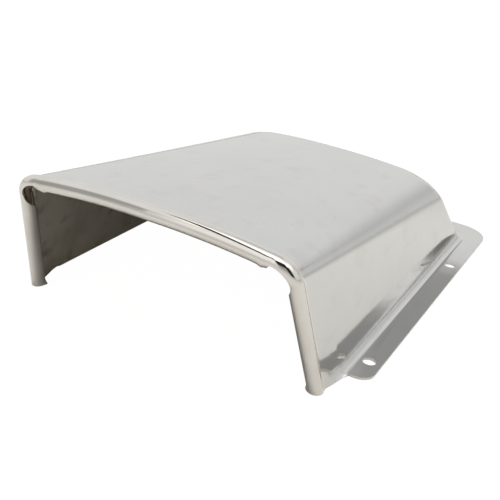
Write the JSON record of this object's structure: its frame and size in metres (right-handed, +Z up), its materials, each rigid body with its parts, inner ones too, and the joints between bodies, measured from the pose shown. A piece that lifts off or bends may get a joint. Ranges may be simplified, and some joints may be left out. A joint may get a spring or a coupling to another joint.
{
  "type": "cowl vent",
  "caption": "Low polished stainless scoop vent for a boat deck, with a sloping crowned hood, a wired rolled mouth and a flat screw flange round three sides.",
  "frame": {"origin": "on the deck, under the middle of the whole vent", "axes": "+Z up from the deck; -Y out of the mouth, +Y towards the rear of the hood; +X to the right when looking into the mouth along +Y"},
  "size_m": [0.127, 0.1938, 0.0506],
  "materials": {
    "polished_stainless": "mirror-polished outside, duller as-pressed inside",
    "drawn_wire": "bright drawn",
    "weld_metal": "as welded"
  },
  "bodies": {
    "root": {"hood_shell": "polished_stainless", "mouth_wire": "drawn_wire", "corner_weld_right": "weld_metal", "corner_weld_left": "weld_metal"}
  },
  "joints": []
}
